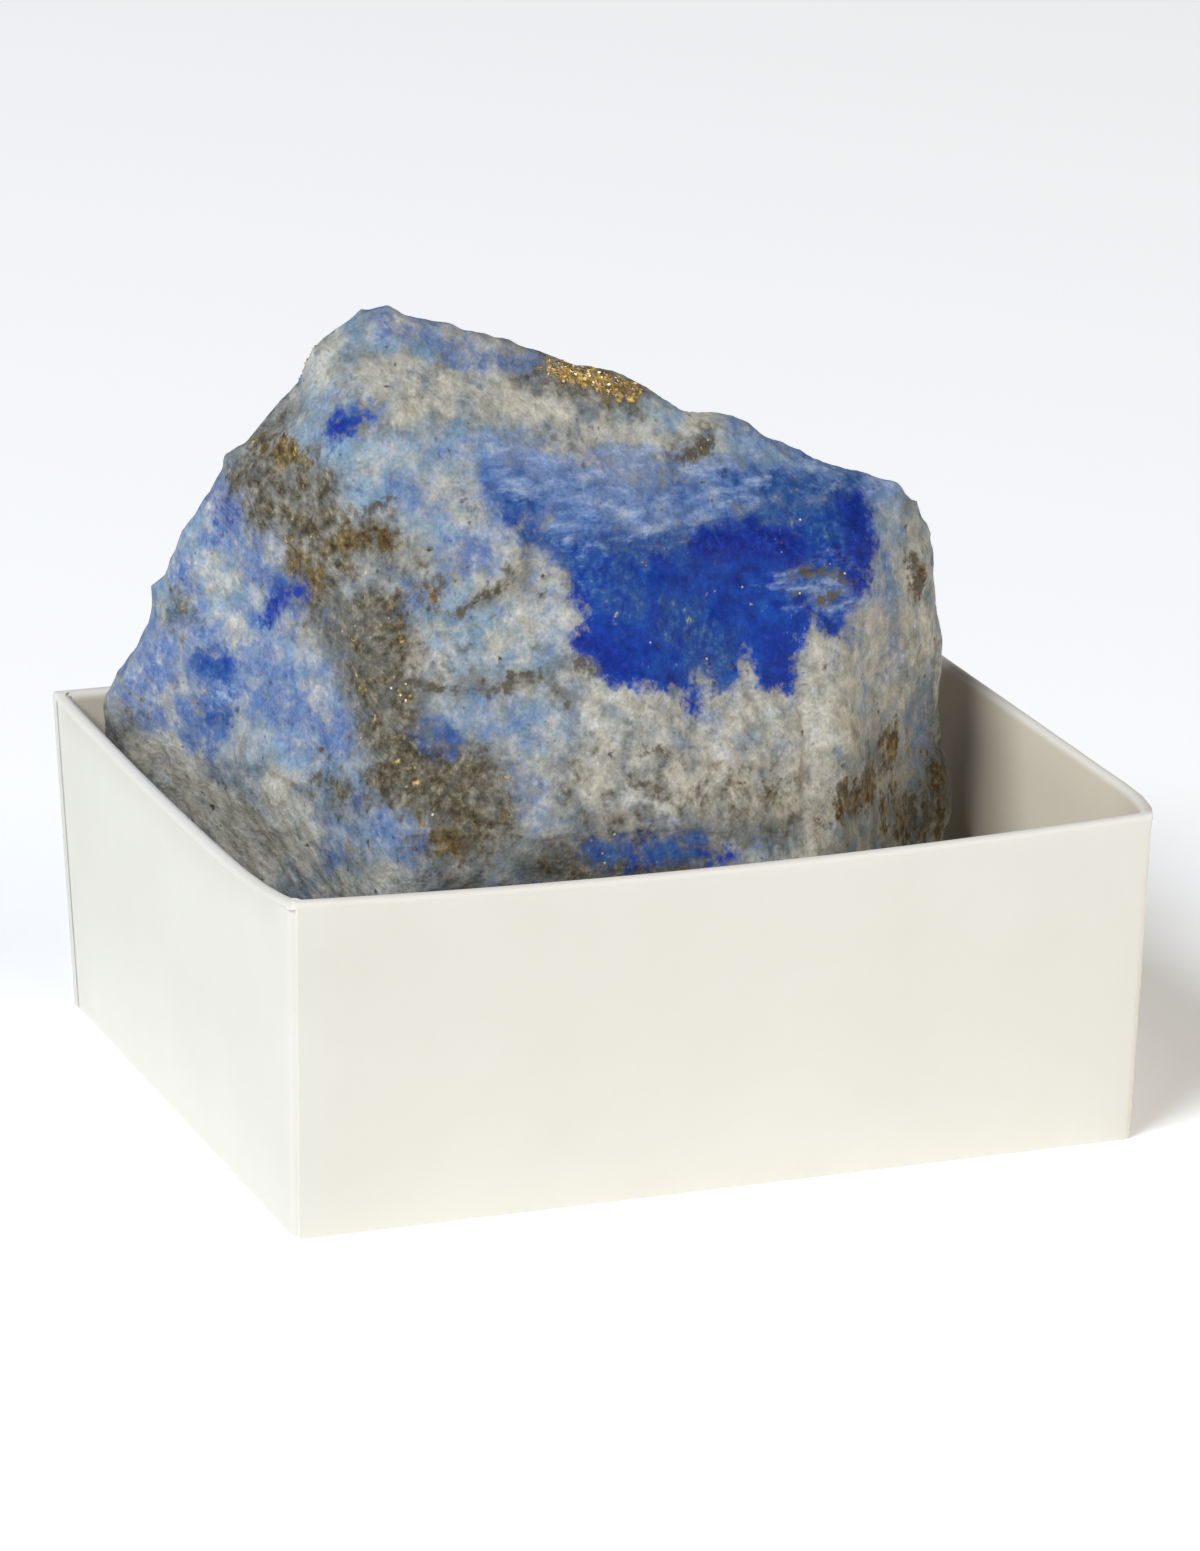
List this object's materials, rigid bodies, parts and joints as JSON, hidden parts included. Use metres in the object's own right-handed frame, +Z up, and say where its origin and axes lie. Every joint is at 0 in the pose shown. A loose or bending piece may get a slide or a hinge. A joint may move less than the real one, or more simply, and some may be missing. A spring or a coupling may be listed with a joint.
{
  "type": "rough lapis lazuli in a card specimen tray",
  "caption": "Blunt wedge of rough blue, grey and cream lapis lazuli with brassy flecks, standing in a low open tray folded from white card.",
  "frame": {"origin": "centre of the whole object's box at the underside of the tray", "axes": "+X along the tray's long front wall towards the stone's low end, +Y from the front wall to the back wall, +Z up"},
  "size_m": [0.0565, 0.0442, 0.048],
  "materials": {
    "lapis_rock": "worn rough break, satin to matt, with brassy flecks",
    "white_card": "smooth uncoated white board, matt, with rolled folds"
  },
  "bodies": {
    "root": {"lapis_stone": "lapis_rock", "card_tray": "white_card"}
  },
  "joints": []
}
